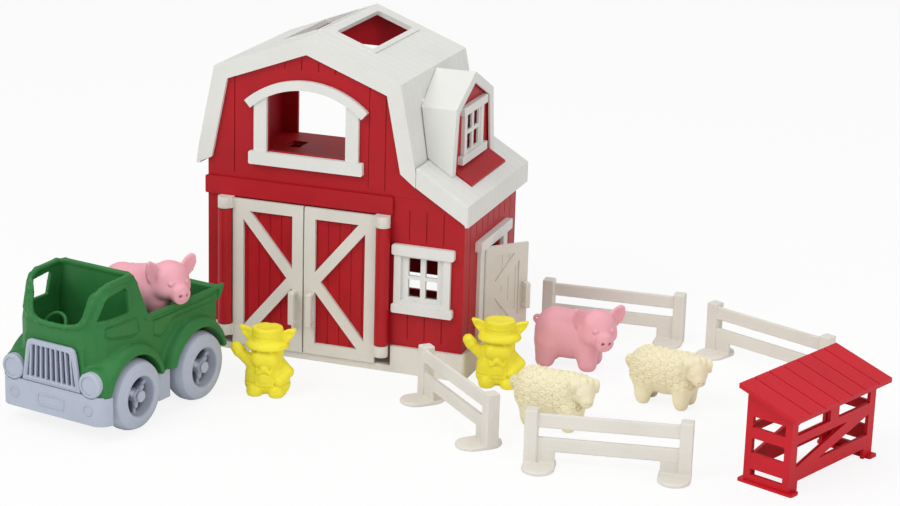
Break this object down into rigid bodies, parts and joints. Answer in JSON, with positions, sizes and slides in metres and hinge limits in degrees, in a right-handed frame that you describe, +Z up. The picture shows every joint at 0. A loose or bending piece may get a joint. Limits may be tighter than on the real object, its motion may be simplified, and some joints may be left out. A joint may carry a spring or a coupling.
{
  "type": "toy farm playset",
  "caption": "Two-storey toy barn with gambrel roof, hinged doors, lean-to and dormer, with a rolling pickup truck, shelter, fence panels and moulded farm figures",
  "frame": {"origin": "on the floor under the middle of the main doorway, halfway back through the barn's roof", "axes": "+X to the barn's right seen from the front, +Y towards its back, +Z up"},
  "size_m": [0.6186, 0.4028, 0.2596],
  "materials": {
    "red_wall": "matte",
    "trim_white": "matte",
    "warm_white": "matte",
    "shelter_red": "matte",
    "truck_green": "satin",
    "blue_grey": "matte",
    "steel": "smooth",
    "pig_pink": "matte",
    "sheep_cream": "matte",
    "farmer_yellow": "matte"
  },
  "bodies": {
    "barn": {"base_tray": "warm_white", "lower_front_wall": "red_wall", "lower_left_wall": "red_wall", "lower_right_wall": "red_wall", "lower_back_wall": "red_wall", "loft_floor": "red_wall", "gable_front": "red_wall", "gable_back": "red_wall", "roof": "trim_white", "lean_to_roof": "trim_white", "dormer_hood": "trim_white", "dormer_wall": "red_wall", "dormer_window": "trim_white", "loft_window_frame": "trim_white", "front_window": "trim_white", "door_lintel": "warm_white", "side_door_frame": "trim_white"},
    "left_door": {"door_left_frame": "warm_white", "door_left_panel": "red_wall", "door_left_handle": "warm_white"},
    "right_door": {"door_right_frame": "warm_white", "door_right_panel": "red_wall", "door_right_handle": "warm_white"},
    "small_door": {"side_door": "warm_white", "side_door_handle": "warm_white"},
    "shelter": {"shelter_frame": "warm_white", "shelter_roof": "shelter_red"},
    "fence_a": {"fence_left": "warm_white"},
    "fence_b": {"fence_front": "warm_white"},
    "fence_c": {"fence_back": "warm_white"},
    "fence_d": {"fence_right": "warm_white"},
    "farmer_a": {"farmer_left": "farmer_yellow"},
    "farmer_b": {"farmer_right": "farmer_yellow"},
    "sheep_a": {"sheep_front": "sheep_cream"},
    "sheep_b": {"sheep_back": "sheep_cream"},
    "pen_pig": {"pig_in_pen": "pig_pink"},
    "bed_pig": {"pig_in_truck": "pig_pink"},
    "truck": {"truck_body": "truck_green", "truck_chassis": "blue_grey", "truck_grille": "blue_grey", "headlight_left": "blue_grey", "headlight_right": "blue_grey"},
    "front_wheels": {"front_axle": "steel", "front_wheel_left": "blue_grey", "front_wheel_right": "blue_grey", "front_cap_left": "blue_grey", "front_cap_right": "blue_grey"},
    "rear_wheels": {"rear_axle": "steel", "rear_wheel_left": "blue_grey", "rear_wheel_right": "blue_grey", "rear_cap_left": "blue_grey", "rear_cap_right": "blue_grey"}
  },
  "joints": [
    {"name": "left_door_hinge", "type": "hinge", "parent": "barn", "child": "left_door", "pos_m": [-0.0666, -0.078, 0.06], "axis": [0, 0, -1], "range_deg": [0, 110]},
    {"name": "right_door_hinge", "type": "hinge", "parent": "barn", "child": "right_door", "pos_m": [0.0666, -0.078, 0.06], "axis": [0, 0, 1], "range_deg": [0, 110]},
    {"name": "small_door_hinge", "type": "hinge", "parent": "barn", "child": "small_door", "pos_m": [0.1342, -0.0266, 0.06], "axis": [0, 0, -1], "range_deg": [-42, 63]},
    {"name": "shelter_lift", "type": "slide", "parent": "barn", "child": "shelter", "axis": [0, 0, 1], "range_m": [0, 0.05]},
    {"name": "fence_a_lift", "type": "slide", "parent": "barn", "child": "fence_a", "axis": [0, 0, 1], "range_m": [0, 0.05]},
    {"name": "fence_b_lift", "type": "slide", "parent": "barn", "child": "fence_b", "axis": [0, 0, 1], "range_m": [0, 0.05]},
    {"name": "fence_c_lift", "type": "slide", "parent": "barn", "child": "fence_c", "axis": [0, 0, 1], "range_m": [0, 0.05]},
    {"name": "fence_d_lift", "type": "slide", "parent": "barn", "child": "fence_d", "axis": [0, 0, 1], "range_m": [0, 0.05]},
    {"name": "farmer_a_lift", "type": "slide", "parent": "barn", "child": "farmer_a", "axis": [0, 0, 1], "range_m": [0, 0.05]},
    {"name": "farmer_b_lift", "type": "slide", "parent": "barn", "child": "farmer_b", "axis": [0, 0, 1], "range_m": [0, 0.05]},
    {"name": "sheep_a_lift", "type": "slide", "parent": "barn", "child": "sheep_a", "axis": [0, 0, 1], "range_m": [0, 0.05]},
    {"name": "sheep_b_lift", "type": "slide", "parent": "barn", "child": "sheep_b", "axis": [0, 0, 1], "range_m": [0, 0.05]},
    {"name": "pen_pig_lift", "type": "slide", "parent": "barn", "child": "pen_pig", "axis": [0, 0, 1], "range_m": [0, 0.05]},
    {"name": "truck_roll", "type": "slide", "parent": "barn", "child": "truck", "axis": [-0.2045, -0.9789, 0], "range_m": [0, 0.18]},
    {"name": "bed_pig_lift", "type": "slide", "parent": "truck", "child": "bed_pig", "axis": [0, 0, 1], "range_m": [0, 0.06]},
    {"name": "front_axle_turn", "type": "hinge", "parent": "truck", "child": "front_wheels", "pos_m": [-0.09754, -0.25539, 0.027], "axis": [0.9789, -0.2045, 0], "range_deg": [0, 382]},
    {"name": "rear_axle_turn", "type": "hinge", "parent": "truck", "child": "rear_wheels", "pos_m": [-0.082, -0.181, 0.027], "axis": [0.9789, -0.2045, 0], "range_deg": [0, 382]}
  ],
  "couplings": [
    {"joint": "front_axle_turn", "follows": "truck_roll", "rad_per_m": 37.037},
    {"joint": "rear_axle_turn", "follows": "truck_roll", "rad_per_m": 37.037}
  ]
}
